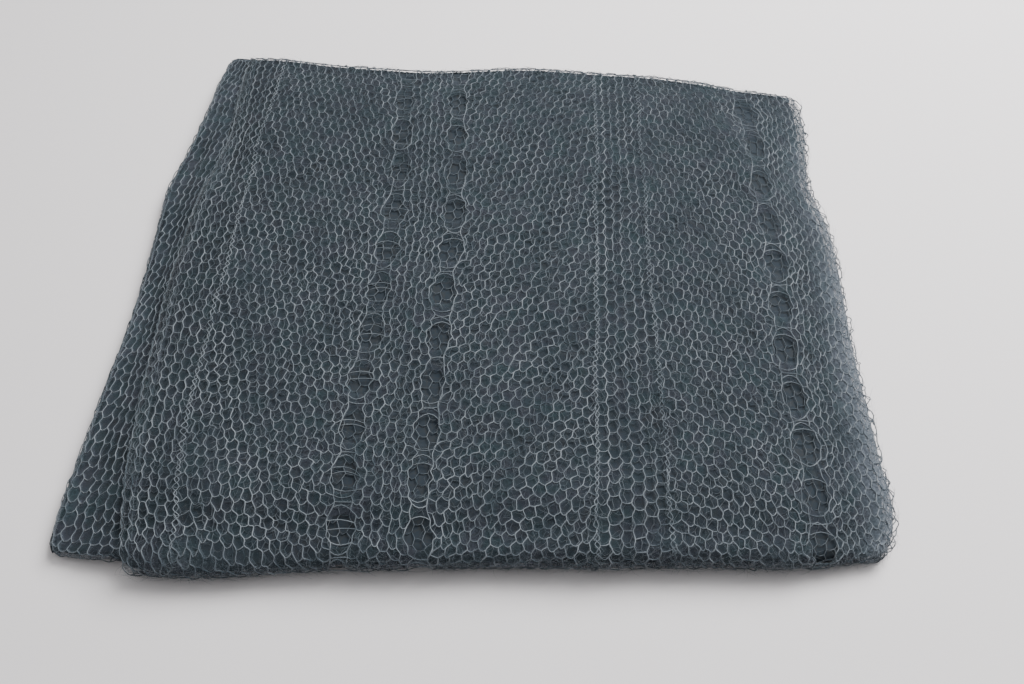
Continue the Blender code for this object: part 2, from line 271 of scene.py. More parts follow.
# Tints of the haze and of the lower layers' haze, the painted light of the film's rim, the
# painted shade of the lower layers' yarn and threads, and the fuzz that thickens beside each
# thread
TEAL = (0.82, 1.04, 0.97)
GREY = (1.16, 0.98, 1.03)
PALE = (3.7, 3.25, 3.1)
LOWER_HAZE = (1.5, 1.5, 1.5)
UNDER_PAINTED_SHADE = (0.7, 0.7, 0.7)
GROUND_PAINTED_SHADE = (0.16, 0.16, 0.16)
FUZZ_REACH = 0.0015
FUZZ_CONTRAST = 2.2
FUZZ_COVER = 0.8
FUZZ_LIGHT = 0.35
RIM_COVER = 0.75
LEAST_COVER = 0.03

# Noise to mask or tone, as (multiplier, offset)
HAZE_HUE = (4.0, -1.5)
HAZE_PATCH = (2.6, -0.95)
HAZE_TUFT = (1.6, -0.3)
YARN_TUFT = (0.5, -0.25)
YARN_PATCH = (0.4, -0.2)
GROUND_PATCH = (0.5, -0.2)

# Eyelets: how far their two columns part, their holes in the film, and their rungs
EYELET_GAP = 0.62
EYELET_REACH = 0.014
EYELET_ROWS = 1.3
EYELET_RANGE = (0.6, 1.15)
HOLE_PUSH = 0.7
HOLE_HALF_LENGTH = 1.25 * ROW_PITCH
HOLE_EDGE = 0.97
RUNG_SHARE = 0.85
RUNG_UNEVEN = 0.0007
RUNG_ARCHES = {-4: -0.0004, -3: -0.0022, 2: 0.0024, 3: 0.0030}
LADDER_ARCHES = {-4: -0.0004, -3: -0.0018, -2: -0.0010, 0: 0.0012, 1: 0.0018, 3: 0.0024}

# Surface, lamps as (name, place, size, power), sky, and camera with its angles in degrees
FLOOR_HALF = 2.5
LAMPS = (("back_light", (0.70, 0.72, 1.10), 0.9, 55),
         ("top_light", (-0.1, 0.2, 1.9), 1.8, 12))
SKY_COLOUR = (0.97, 0.98, 1.0, 1)
SKY_STRENGTH = 0.25
LENS = 28
SENSOR = 36
NEAREST = 0.01
CAMERA_PLACE = (0.0244, -0.2983, 0.4139)
CAMERA_TILT = 31.7
CAMERA_TURN = 2


def through(rows, place):
    """Smooth curve through rows of (place, value), level beyond its two ends."""
    knots, values = np.array(rows).T
    slopes = np.gradient(values, knots)
    slopes[0] = slopes[-1] = 0.0
    place = np.clip(place, knots[0], knots[-1])
    left = np.clip(np.searchsorted(knots, place, side="right") - 1, 0, len(knots) - 2)
    span = knots[left + 1] - knots[left]
    t = (place - knots[left]) / span
    leaving = (1 + 2 * t) * (1 - t) ** 2 * values[left] + t * (1 - t) ** 2 * span * slopes[left]
    coming = t * t * (3 - 2 * t) * values[left + 1] - t * t * (1 - t) * span * slopes[left + 1]
    return leaving + coming


def panel_edge(b):
    """Place across the packet of the top panel's free edge."""
    return through(PANEL_EDGE, b)


def unit(vectors):
    """Vectors of length 1 along the last axis; those without length stay zero."""
    return vectors / np.maximum(np.linalg.norm(vectors, axis=-1, keepdims=True), 1e-12)


def core_sides(a, b):
    """Left, right, front and back sides of the packet's core at cloth point a, b."""
    left = through(LEFT_EDGE, b) + RING + LEFT_RIM / 2
    right = through(RIGHT_EDGE, b) - RING - RIGHT_RIM / 2
    front = through(FRONT_EDGE, a) + RING + FRONT_RIM / 2
    back = through(BACK_EDGE, a) - RING - BACK_RIM / 2
    return left, right, front, back


def shoulder(distance, width, rim):
    """Share of the crest's height, from 1 inside the shoulder to rim at the side."""
    slope = np.clip(1 - distance / width, 0, 1) ** 2
    return 1 - (1 - rim / CREST) * slope


def fold_height(x, y):
    """Sum of the main folds: a bell across each fold's line, fading past its ends."""
    height = np.zeros_like(x)
    for x0, y0, x1, y1, rise, half_width in FOLDS:
        run_x, run_y = x1 - x0, y1 - y0
        t = ((x - x0) * run_x + (y - y0) * run_y) / (run_x ** 2 + run_y ** 2)
        t = np.clip(t, 0, 1)
        off = np.hypot(x - x0 - t * run_x, y - y0 - t * run_y)
        height += rise * np.exp(-(off / half_width) ** 2)
    return height


def stack_height(x, y, sides):
    """Height of the packet over a point of its core."""
    left, right, front, back = sides
    height = CREST * shoulder(x - left, LEFT_SHOULDER, LEFT_RIM)
    height = height * shoulder(right - x, RIGHT_SHOULDER, RIGHT_RIM)
    height = height * shoulder(y - front, FRONT_SHOULDER, FRONT_RIM)
    height = height * shoulder(back - y, BACK_SHOULDER, BACK_RIM)
    across = np.sin(2 * math.pi * x / SWELL_ACROSS + SWELL_START)
    along = np.sin(2 * math.pi * y / SWELL_ALONG)
    return height + fold_height(x, y) + SWELL_HEIGHT * across * along


def on_core(a, b):
    """Core point under cloth point a, b, the way out from it, and the turn there."""
    sides = core_sides(a, b)
    left, right, front, back = sides
    x = np.clip(a, left, right)
    y = np.clip(b, front, back)
    radius = stack_height(x, y, sides) / 2
    out_x, out_y = a - x, b - y
    beyond = np.maximum(np.abs(out_x), np.abs(out_y))
    turn = np.clip((beyond - RING) / radius, 0, math.pi)
    return x, y, out_x, out_y, beyond, radius, turn


def packet_point(a, b):
    """Point of the packet's outer face for cloth coordinates a, b.

    Over the core the cloth lies at the stack's height. Past the core it runs flat
    for the ring's width, then turns down on a circle half the stack's height in
    radius. Round a corner the turn fans out from the core's own corner.
    """
    x, y, out_x, out_y, beyond, radius, turn = on_core(a, b)
    reach = np.minimum(beyond, RING) + radius * np.sin(turn)
    length = np.hypot(out_x, out_y)
    length = np.where(length > 0, length, 1)
    return np.stack([x + reach * out_x / length - PLAN_CENTRE[0],
                     y + reach * out_y / length - PLAN_CENTRE[1],
                     radius + radius * np.cos(turn)], axis=-1)


def packet_normal(a, b):
    """Unit normal of the packet's face, from points a small step to each side."""
    along_a = packet_point(a + NORMAL_STEP, b) - packet_point(a - NORMAL_STEP, b)
    along_b = packet_point(a, b + NORMAL_STEP) - packet_point(a, b - NORMAL_STEP)
    return unit(np.cross(along_a, along_b))


def tip_swell(a, b):
    """How far forward the top panel swells over the left end of the front fold."""
    _, _, _, out_y, _, _, turn = on_core(a, b)
    rolled = np.sin(np.minimum(turn, math.pi / 2)) ** 2 * (out_y < 0)
    return TIP_SWELL * rolled * np.exp(-((a - TIP_PLACE) / TIP_REACH) ** 2)


def side_loosening(a, b, sides):
    """Amounts for the right, left, back and front, fading in as the cloth turns down there."""
    right, left, back, front = sides
    _, _, out_x, out_y, _, _, turn = on_core(a, b)
    t = np.clip(turn / math.radians(LOOSE_TURN), 0, 1)
    length = np.maximum(np.hypot(out_x, out_y), 1e-9)
    across, along = out_x / length, out_y / length
    size = np.where(across > 0, right, left) * across ** 2
    size = size + np.where(along > 0, back, front) * along ** 2
    return size * t * t * (3 - 2 * t)


def loose_loft(a, b, seed):
    """How far a net stands off the packet's sides, uneven from stitch to stitch."""
    uneven = 1 + LOOSE_UNEVEN * soft_noise(a, b, LOOSE_SIZE, seed)
    return uneven * side_loosening(a, b, LOOSE)


def layer_point(a, b, depth, top_panel):
    """Point a given depth under the packet's face, and the normal there.

    The top panel and what it covers also swell forward at its tip.
    """
    normals = packet_normal(a, b)
    points = packet_point(a, b) - normals * np.asarray(depth)[..., None]
    if top_panel:
        covered = np.clip((a - panel_edge(b)) / SWELL_TUCK + 1, 0, 1)
        points[..., 1] -= covered * tip_swell(a, b)
    points[..., 2] = np.maximum(points[..., 2], LOWEST)
    return points, normals


def roll_length(place_a, place_b, turn):
    """Cloth from the core's side to a turn, in degrees, of the roll beside it."""
    radius = stack_height(place_a, place_b, core_sides(place_a, place_b)) / 2
    return RING + np.radians(turn) * radius


def side_place(b, turn, right):
    """Cloth coordinate across the packet where its left or right roll has turned so far."""
    side = core_sides(np.zeros_like(b), b)[1 if right else 0]
    _, _, front, back = core_sides(side, b)
    length = roll_length(side, np.clip(b, front, back), turn)
    return side + length if right else side - length


def end_place(a, turn, back):
    """Cloth coordinate along the packet where its front or back roll has turned so far."""
    side = core_sides(a, np.zeros_like(a))[3 if back else 2]
    left, right, _, _ = core_sides(a, side)
    length = roll_length(np.clip(a, left, right), side, turn)
    return side + length if back else side - length


def half_row_place(half_rows):
    """Place of each half row along the columns: rows grow a little towards the back."""
    row = half_rows / 2
    return FIRST_ROW + ROW_PITCH * row + ROW_GROWTH * row * row


def soft_noise(a, b, size, seed):
    """Smooth noise of about -1 to 1: a sum of sine waves in seeded directions."""
    rng = np.random.default_rng(seed)
    total = np.zeros_like(a)
    for angle, phase, stretch in rng.uniform(0, 1, (WAVES, 3)):
        turn = angle * 2 * math.pi
        wavelength = size * (SHORTEST_WAVE + WAVE_SPREAD * stretch)
        wave = (a * math.cos(turn) + b * math.sin(turn)) / wavelength
        total += np.sin(2 * math.pi * (wave + phase))
    return total / math.sqrt(2 * WAVES)


def new_object(name, data):
    """Object of some data, in the scene's own collection."""
    made = bpy.data.objects.new(name, data)
    bpy.context.scene.collection.objects.link(made)
    return made


def new_mesh(name, points, polygons, material):
    """Smooth object at the origin from points and arrays of equal-sided polygons."""
    mesh = bpy.data.meshes.new(name)
    corners = np.concatenate([part.ravel() for part in polygons]).astype(np.int32)
    sizes = np.concatenate([np.full(len(part), part.shape[1]) for part in polygons])
    starts = np.concatenate([[0], np.cumsum(sizes)[:-1]]).astype(np.int32)
    mesh.vertices.add(len(points))
    mesh.vertices.foreach_set("co", np.ascontiguousarray(points, dtype=np.float32).ravel())
    mesh.loops.add(len(corners))
    mesh.loops.foreach_set("vertex_index", corners)
    mesh.polygons.add(len(sizes))
    mesh.polygons.foreach_set("loop_start", starts)
    mesh.update(calc_edges=True)
    mesh.validate()
    mesh.polygons.foreach_set("use_smooth", np.full(len(mesh.polygons), True))
    mesh.materials.append(material)
    piece = new_object(name, mesh)
    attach(piece, "root")
    return piece


def store_values(piece, name, values):
    """Named number at each point of a mesh, for its material to read."""
    attribute = piece.data.attributes.new(name, "FLOAT", "POINT")
    attribute.data.foreach_set("value", np.asarray(values, dtype=np.float32))


def store_cloth_uv(piece, a, b):
    """UV map of the cloth's own coordinates, in decimetres."""
    layer = piece.data.uv_layers.new(name="cloth")
    corners = np.zeros(len(piece.data.loops), dtype=np.int32)
    piece.data.loops.foreach_get("vertex_index", corners)
    places = np.stack([a, b], axis=-1)[corners] * 10
    layer.data.foreach_set("uv", places.ravel().astype(np.float32))


def yarn_mesh(name, yarn, sides, material):
    """Yarn: a round section carried along each strand, standing on the cloth's normal.

    yarn is points, normals, whether each point goes on to the next, radius and tone.
    Each strand is closed by a cap at both ends.
    """
    points, normals, joined, radius, tone = yarn
    joined = joined.copy()
    joined[-1] = False
    from_last = np.concatenate([[False], joined[:-1]])
    ahead = np.where(joined[:, None], np.roll(points, -1, axis=0), points)
    behind = np.where(from_last[:, None], np.roll(points, 1, axis=0), points)
    along = unit(ahead - behind)
    side = unit(np.cross(along, normals))
    up = np.cross(side, along)
    turns = 2 * math.pi * np.arange(sides) / sides
    outward = np.cos(turns)[None, :, None] * side[:, None]
    ring = outward + np.sin(turns)[None, :, None] * up[:, None]
    vertices = (points[:, None] + ring * radius[:, None, None]).reshape(-1, 3)
    corner = np.arange(sides)
    after = (corner + 1) % sides
    near = np.nonzero(joined)[0][:, None] * sides
    far = near + sides
    quads = np.stack([near + corner, far + corner, far + after, near + after], axis=-1)
    starts = np.nonzero(joined & ~from_last)[0][:, None] * sides + corner
    ends = np.nonzero(~joined & from_last)[0][:, None] * sides + corner[::-1]
    piece = new_mesh(name, vertices, [quads.reshape(-1, 4), starts, ends], material)
    store_values(piece, "tone", np.repeat(tone, sides))
    return piece


def smooth_strands(values, present, steps):
    """Points along strands: a Catmull-Rom curve through each run of present vertices.

    values is a list of arrays, one row a strand. Gives each array's points and
    whether each is joined to the next.
    """
    count = present.shape[1]
    place = np.arange(count)
    ahead = np.minimum(place + 1, count - 1)
    further = np.minimum(place + 2, count - 1)
    before = np.maximum(place - 1, 0)
    has_ahead = present & present[:, ahead] & (place < count - 1)
    has_further = has_ahead & present[:, further] & (place < count - 2)
    has_before = present & present[:, before] & (place > 0)
    t = np.arange(steps) / steps
    used = np.repeat(has_ahead[:, :, None], steps, axis=2)
    used[:, :, 0] = present
    strand, vertex, step = np.nonzero(used)
    order = vertex * steps + step
    joined = np.zeros(len(strand), dtype=bool)
    joined[:-1] = (strand[1:] == strand[:-1]) & (order[1:] == order[:-1] + 1)
    results = []
    for here in values:
        following = np.where(has_ahead, here[:, ahead], here)
        last = np.where(has_further, here[:, further], following)
        first = np.where(has_before, here[:, before], here)
        p, q = here[:, :, None], following[:, :, None]
        m = ((following - first) / 2)[:, :, None]
        n = ((last - here) / 2)[:, :, None]
        curve = ((2 * t ** 3 - 3 * t ** 2 + 1) * p + (t ** 3 - 2 * t ** 2 + t) * m
                 + (3 * t ** 2 - 2 * t ** 3) * q + (t ** 3 - t ** 2) * n)
        results.append(curve[strand, vertex, step])
    return results, joined


def even_joins(count, size):
    """Joins of a number of equal strands: every point goes on to the next but the last."""
    joined = np.ones((count, size), dtype=bool)
    joined[:, -1] = False
    return joined.ravel()


def with_neighbours(inside):
    """Those vertices along each column that are inside or next to one that is."""
    grown = inside.copy()
    grown[:, 1:] |= inside[:, :-1]
    grown[:, :-1] |= inside[:, 1:]
    return grown


def crossing_strands(values, first, second, row, arch, steps):
    """Short strands between two columns at one half row, arched by a half sine along them.

    values is a list of arrays, the second of which is the place along the columns.
    """
    t = np.linspace(0, 1, steps + 1)[None, :]
    results = []
    for number, value in enumerate(values):
        run = value[first, row][:, None] * (1 - t) + value[second, row][:, None] * t
        if number == 1:
            run = run + arch[:, None] * np.sin(math.pi * t)
        results.append(run.ravel())
    return results, even_joins(len(row), steps + 1)


def section_lines(section, left, right):
    """Stitch columns of one section between its two border columns.

    In a straight section they share its width evenly. In a leaning one they run
    from the side where eyelets add stitches to the side where stitches are knitted
    together, a quarter of a stitch further over at each half row.
    """
    lean, amount = section
    if lean == STRAIGHT:
        labels = np.arange(1, amount)
        places = left + (right - left) * labels[:, None] / amount
        return labels, places, np.ones_like(places, dtype=bool)
    pitch = amount
    source = left if lean == LEAN_RIGHT else right
    drift = lean * LEAN_STEP * HALF_ROWS
    lowest = int(np.floor(((left - source) / pitch - drift).min()))
    highest = int(np.ceil(((right - source) / pitch - drift).max()))
    labels = np.arange(lowest, highest + 1)
    places = source + pitch * (labels[:, None] + drift)
    margin = BORDER_MARGIN * pitch
    inside = (places > left + margin) & (places < right - margin)
    used = inside.any(axis=1)
    return labels[used], places[used], inside[used]


def knit(borders, drops, sections, pitch, seed):
    """Net of a knitted lace: zigzag stitch columns and the short strands that link them.

    Each column swings right at one half row, where a link runs to the column at its
    right, and left at the next, so that the gaps are hexagons. A border column
    belongs to the sections on both its sides, and where a leaning column is born or
    ends it forks out of its border. The rows drop from border to border in straight
    lines. Gives a and b of each column at each half row, where it is present, and the
    links as two columns and a half row.
    """
    rng = np.random.default_rng(seed)
    swing = pitch * ZIGZAG
    rows = np.arange(len(HALF_ROWS))
    pulls = np.zeros(borders.shape)
    parts, links = [], []
    first_line = len(borders)
    for number, section in enumerate(sections):
        if section is EYELETS:
            continue
        labels, places, inside = section_lines(section, borders[number], borders[number + 1])
        to_right = (labels[:, None] + HALF_ROWS) % 2 == 0
        zigzag = np.where(to_right, swing, -swing) * rng.uniform(*ZIGZAG_RANGE, places.shape)
        with_next = np.zeros_like(inside)
        with_next[:-1] = inside[1:]
        with_last = np.zeros_like(inside)
        with_last[1:] = inside[:-1]
        line = first_line + np.arange(len(labels))[:, None] + np.zeros_like(rows)
        row = rows + np.zeros_like(line)
        pair = inside & with_next & to_right
        to_border = inside & ~with_next & to_right
        from_border = inside & ~with_last & ~to_right
        links.append([line[pair], line[pair] + 1, row[pair]])
        links.append([line[to_border], np.full(to_border.sum(), number + 1), row[to_border]])
        links.append([np.full(from_border.sum(), number), line[from_border], row[from_border]])
        np.add.at(pulls, (number + 1, row[to_border]), -1)
        np.add.at(pulls, (number, row[from_border]), 1)
        parts.append((number, places + zigzag, inside))
        first_line += len(labels)
    wave = np.where(HALF_ROWS % 2 == 0, SPINE_WAVE, -SPINE_WAVE)
    pulls = np.where(pulls == 0, wave, np.clip(pulls, -1, 1))
    borders = borders + pulls * swing * rng.uniform(*BORDER_RANGE, borders.shape)
    drops = np.asarray(drops, dtype=float)
    a = [borders]
    drop = [np.zeros(borders.shape) + drops[:, None]]
    present = [np.ones(borders.shape, dtype=bool)]
    for number, places, inside in parts:
        left, right = borders[number], borders[number + 1]
        nearest = np.where(places - left < right - places, left, right)
        place = np.where(inside, places, nearest)
        share = (place - left) / (right - left)
        a.append(place)
        drop.append(drops[number] + (drops[number + 1] - drops[number]) * share)
        present.append(with_neighbours(inside))
    a = np.vstack(a)
    b = half_row_place(HALF_ROWS) + np.vstack(drop)
    return a, b, np.vstack(present), np.concatenate(links, axis=1)


def in_halves(yarn):
    """Two yarns that share the strands of one."""
    ends = np.nonzero(~yarn[2])[0]
    middle = ends[len(ends) // 2] + 1
    return tuple(part[:middle] for part in yarn), tuple(part[middle:] for part in yarn)


def eyelet_phase():
    """Half rows from each half row to the middle of its nearest eyelet, from -4 to 3."""
    half = EYELET_PERIOD // 2
    return (HALF_ROWS + half) % EYELET_PERIOD - half


def eyelet_rungs(sections):
    """Rungs of the ladders between eyelets: two border columns, a half row and an arch."""
    rng = np.random.default_rng(18)
    rungs = []
    places = [number for number, section in enumerate(sections) if section is EYELETS]
    for number in places:
        arches = LADDER_ARCHES if number == places[0] else RUNG_ARCHES
        for wanted, arch in arches.items():
            row = np.nonzero(eyelet_phase() == wanted)[0]
            row = row[rng.random(len(row)) < RUNG_SHARE]
            rungs.append([np.full(len(row), number), np.full(len(row), number + 1), row,
                          arch + RUNG_UNEVEN * rng.normal(size=len(row))])
    return np.concatenate(rungs, axis=1)


def open_eyelets(a, b, size, pitch):
    """Columns pushed apart round each eyelet: most at its middle, fading along and across."""
    along = np.exp(-(eyelet_phase() / 2 / EYELET_ROWS) ** 2)
    number = (HALF_ROWS - HALF_ROWS[0] + EYELET_PERIOD // 2) // EYELET_PERIOD
    rng = np.random.default_rng(17)
    opened = a.copy()
    for column in EYELET_COLUMNS:
        push = size * rng.uniform(*EYELET_RANGE, number.max() + 1)[number]
        off = a - through(column, b)
        across = np.exp(-np.maximum(np.abs(off) - pitch * EYELET_GAP, 0) / EYELET_REACH)
        opened += np.sign(off) * push * along * across
    return opened


def roughen(a, b, seed, settings):
    """Hand-knitted unevenness: a slow drift of the whole net and a small one of each stitch."""
    rng = np.random.default_rng(seed)
    drift = settings.unevenness
    moved = []
    for number, (place, (size, slow, single)) in enumerate(zip((a, b), DRIFTS), 1):
        noise = slow * soft_noise(a, b, size, seed + number) + single * rng.normal(size=a.shape)
        moved.append(place + drift * noise)
    return (*moved, LIFT_SHARE * drift * rng.normal(size=a.shape))


def cut_ends(a, b, present, front_turn, back_turn):
    """Columns end on the cloth's front and back edges: the vertex past an edge moves onto it."""
    front = end_place(a, front_turn, False)
    back = end_place(a, back_turn, True)
    inside = present & (b > front) & (b < back)
    return np.clip(b, front, back), with_neighbours(inside) & present, inside


def inside_links(links, inside):
    """Those links whose two ends both lie on the cloth, as rows of a whole-number array."""
    first, second, row = links[:3].astype(int)
    both = inside[first, row] & inside[second, row]
    return links[:, both]


def net_yarn(net, look, top_panel):
    """Yarn of a net on its layer: smooth columns, then links and rungs a little deeper.

    look is depth, radius, tone, share of the loft at the sides, steps from vertex to
    vertex and seed.
    """
    a, b, lift, present, inside, links, rungs, weight = net
    depth, radius, tone, loft, steps, seed = look
    rng = np.random.default_rng(seed)
    size = radius * weight * rng.uniform(*YARN_RANGE, a.shape)
    shade = np.full(a.shape, tone)
    for number, patch in enumerate(PATCH_SIZES):
        shade += PATCH_TONE * soft_noise(a, b, patch, seed + number)
    single = STITCH_TONE * rng.normal(size=a.shape)
    shade += single + COLUMN_TONE * rng.normal(size=(len(a), 1)) + weight - 1
    # Painted shade: the yarn's tone is lowered where the cloth turns down at its sides, most at
    # the front
    shade -= RIM_PAINTED_SHADE * side_loosening(a, b, RIM_SHADE)
    shade -= BACK_DARKER * np.clip(b / BACK_REACH, 0, 1)
    values = [a, b, lift, size, shade]
    groups = [(*smooth_strands(values, present, steps), 0, 0)]
    links = inside_links(links, inside)
    sag = LINK_SAG * rng.normal(-1, 0.7, links.shape[1])
    crossings, joined = crossing_strands(values, *links, sag, steps)
    crossings[3] = LINK_SIZE * crossings[3]
    groups.append((crossings, joined, LINK_DEPTH, LINK_PAINTED_SHADE))
    if rungs is not None:
        first, second, row, arch = inside_links(rungs, inside)
        ends = np.stack([first, second, row]).astype(int)
        crossings, joined = crossing_strands(values, *ends, arch, RUNG_STEPS)
        groups.append((crossings, joined, RUNG_DEPTH, RUNG_PAINTED_SHADE))
    yarns = []
    # Each group's tone is lowered by its painted shade: none for the columns, most for the deeper
    # links
    for (place_a, place_b, rise, thickness, brightness), joins, deeper, painted_shade in groups:
        stand = rise + loose_loft(place_a, place_b, seed + 5) * loft
        below = depth + deeper * radius - stand
        points, normals = layer_point(place_a, place_b, below, top_panel)
        yarns.append((points, normals, joins, thickness, brightness - painted_shade))
    return yarns


def joined_yarn(yarns):
    """Several yarns as one set of arrays."""
    return tuple(np.concatenate(parts) for parts in zip(*yarns))


def top_net(settings):
    """Net of the top panel, with its border columns, eyelets and ladders.

    Each spine is two strands that mirror each other, so that it is a chain of small
    diamonds.
    """
    half = settings.stitch * EYELET_GAP
    columns = [(PANEL_EDGE, 0), (SPINE_A, 0), (EYELETS_1, -half), (EYELETS_1, half),
               (EYELETS_2, -half), (EYELETS_2, half), (SPINE_B, 0), (SPINE_C, 0),
               (EYELETS_3, -half), (EYELETS_3, half)]
    b = half_row_place(HALF_ROWS) + np.array(BORDER_DROPS)[:, None]
    borders = [through(column, place) + aside for (column, aside), place in zip(columns, b)]
    borders.append(side_place(b[-1], ROLL_TURN, True))
    a, b, present, links = knit(np.array(borders), BORDER_DROPS, SECTIONS, settings.stitch, 11)
    weight = np.ones_like(a)
    weight[0] = EDGE_WEIGHT
    spines = list(SPINE_BORDERS)
    weight[spines] = SPINE_WEIGHT
    middle = np.array(borders)[spines]
    swing = (1 + SPINE_WIDTH) * (a[spines] - middle)
    a[spines] = middle + swing
    a = np.vstack([a, middle - swing])
    b = np.vstack([b, b[spines]])
    present = np.vstack([present, present[spines]])
    weight = np.vstack([weight, weight[spines]])
    a = open_eyelets(a, b, settings.eyelet_push, settings.stitch)
    a, b, lift = roughen(a, b, 12, settings)
    b, present, inside = cut_ends(a, b, present, ROLL_TURN, LIP_TURN)
    return a, b, lift, present, inside, links, eyelet_rungs(SECTIONS), weight


def top_yarn(settings):
    """Yarn of the top panel's net: its columns, its links and its rungs."""
    radius = settings.yarn_radius
    return net_yarn(top_net(settings), (radius, radius, TOP_TONE, 1, 3, 13), True)


def plain_net(left, right, drops, cells, seed, settings, front_turn, back_turn):
    """Plain straight net between two edges that are given along the half rows."""
    section = (STRAIGHT, cells)
    a, b, present, links = knit(np.stack([left, right]), drops, [section], settings.stitch, seed)
    a, b, lift = roughen(a, b, seed + 1, settings)
    b, present, inside = cut_ends(a, b, present, front_turn, back_turn)
    return a, b, lift, present, inside, links, None, np.ones_like(a)


def edge_yarn(a, b, depth, radius, tone, seed):
    """One strand along the top panel's edge, with the small waves of its stitches."""
    rng = np.random.default_rng(seed)
    sway = EDGE_UNEVEN * rng.normal(size=(2, len(a)))
    points, normals = layer_point(a + sway[0], b + sway[1], depth, True)
    joined = np.ones(len(a), dtype=bool)
    size = radius * rng.uniform(0.85, 1.2, len(a))
    return points, normals, joined, size, tone + 0.1 * rng.normal(size=len(a))


def stations(low_turns, shares, high_turns):
    """Grid stations across the packet: turns in the low roll, shares of the core, high roll.

    A turn of -1 marks a place on the core.
    """
    share = np.concatenate([np.zeros(len(low_turns)), shares, np.ones(len(high_turns))])
    turn = np.concatenate([low_turns, np.full(len(shares), -1.0), high_turns])
    return share, turn


def packet_grid(columns, rows, low_edge=None, high_edge=None):
    """Cloth coordinates of a grid whose lines follow the packet's sides and rolls.

    A place on the core is a share of the way between its two sides, or between the
    edges given, and one in a roll lies at its turn. The two coordinates depend on
    each other a little, so they settle in a few passes.
    """
    share_a, turn_a = (value[None, :] for value in columns)
    share_b, turn_b = (value[:, None] for value in rows)
    a = np.zeros((share_b.size, share_a.size))
    b = np.zeros_like(a)
    for _ in range(5):
        left, right, _, _ = core_sides(a, b)
        low = left if low_edge is None else low_edge(b)
        high = right if high_edge is None else high_edge(b)
        rolled = np.where(share_a < 0.5, side_place(b, turn_a, False), side_place(b, turn_a, True))
        a = np.where(turn_a < 0, low + share_a * (high - low), rolled)
        _, _, front, back = core_sides(a, b)
        rolled = np.where(share_b < 0.5, end_place(a, turn_b, False), end_place(a, turn_b, True))
        b = np.where(turn_b < 0, front + share_b * (back - front), rolled)
    return a, b


def grid_quads(rows, columns):
    """Quads of a grid of points numbered row by row, facing up."""
    first = np.arange(rows - 1)[:, None] * columns + np.arange(columns - 1)
    corners = [first, first + 1, first + columns + 1, first + columns]
    return np.stack(corners, axis=-1).reshape(-1, 4)


def closed_shell(outer, inner, quads):
    """Thin closed wall from its outer and inner points: both faces and the rims between.

    An edge that only one quad uses lies on a rim, and gets a quad down to the inner face.
    """
    count = len(outer)
    starts = quads.ravel()
    ends = np.roll(quads, -1, axis=1).ravel()
    open_edge = ~np.isin(starts * count + ends, ends * count + starts)
    start, end = starts[open_edge], ends[open_edge]
    rim = np.stack([end, start, start + count, end + count], axis=-1)
    faces = np.concatenate([quads, quads[:, ::-1] + count, rim])
    used, faces = np.unique(faces, return_inverse=True)
    return np.concatenate([outer, inner])[used], faces.reshape(-1, 4), used % count


def film_mesh(name, a, b, depth, top_panel, holes, material):
    """Film of brushed fibre: a thin closed shell on the packet's form, open at its eyelets.

    A quad whose middle lies inside an eyelet's ellipse is left out, and the points
    left at its rim move out onto the ellipse. Its rim value says where the film is
    thick and pale: at the sides, at the right most, and at the panel's front tip. At
    the sides its paleness is painted light shining through the loose fibre.
    """
    rows, columns = a.shape
    quads = grid_quads(rows, columns)
    a, b = a.ravel().copy(), b.ravel().copy()
    for centre_a, centre_b, half_width, half_length in holes:
        off_a, off_b = (a - centre_a) / half_width, (b - centre_b) / half_length
        ratio = np.hypot(off_a, off_b)
        middle = np.hypot(off_a[quads].mean(axis=1), off_b[quads].mean(axis=1))
        quads = quads[middle > HOLE_EDGE]
        rim = ratio < 1
        ratio = np.maximum(ratio[rim], 0.1)
        a[rim] = centre_a + half_width * off_a[rim] / ratio
        b[rim] = centre_b + half_length * off_b[rim] / ratio
    depth = depth - side_loosening(a, b, RISE)
    outer, _ = layer_point(a, b, depth, top_panel)
    inner, _ = layer_point(a, b, depth + FILM_WALL, top_panel)
    points, faces, origin = closed_shell(outer, inner, quads)
    piece = new_mesh(name, points, [faces], material)
    # Painted light: the film is paler towards the right side, fading towards the back
    pale = np.clip((a - core_sides(a, b)[1] + PALE_START) / PALE_REACH, 0, 1)
    pale *= 1 - PALE_FADE * np.clip(b / PALE_BACK, 0, 1)
    rim = np.maximum(pale, side_loosening(a, b, RIM_HAZE_AND_PAINTED_LIGHT))
    if top_panel:
        by_edge = np.clip(1 - (a - panel_edge(b)) / TIP_HAZE, 0, 1)
        rim = np.maximum(rim, by_edge * tip_swell(a, b) / TIP_SWELL)
    store_values(piece, "rim", rim[origin])
    store_cloth_uv(piece, a[origin], b[origin])
    return piece


def eyelet_holes(settings):
    """Centre and half sizes of each eyelet of the top panel."""
    rows = HALF_ROWS[HALF_ROWS % EYELET_PERIOD == 0]
    places = half_row_place(rows)
    half_width = settings.stitch * EYELET_GAP + settings.eyelet_push * HOLE_PUSH
    return [(float(through(column, place)), place, half_width, HOLE_HALF_LENGTH)
            for column in EYELET_COLUMNS for place in places]


def nose_depth(turn, first, layers):
    """Depth of the folded edges of a stack of layers, from a turn of its roll on.

    Each layer's edge is a rounded nose, with a valley to the next.
    """
    share = np.clip((turn - first) / (CORE_TURN - first), 0, 1) * layers
    nose = np.abs(np.sin(math.pi * share)) ** 0.5
    return NOSE_DEPTH + (VALLEY_DEPTH - NOSE_DEPTH) * (1 - nose)


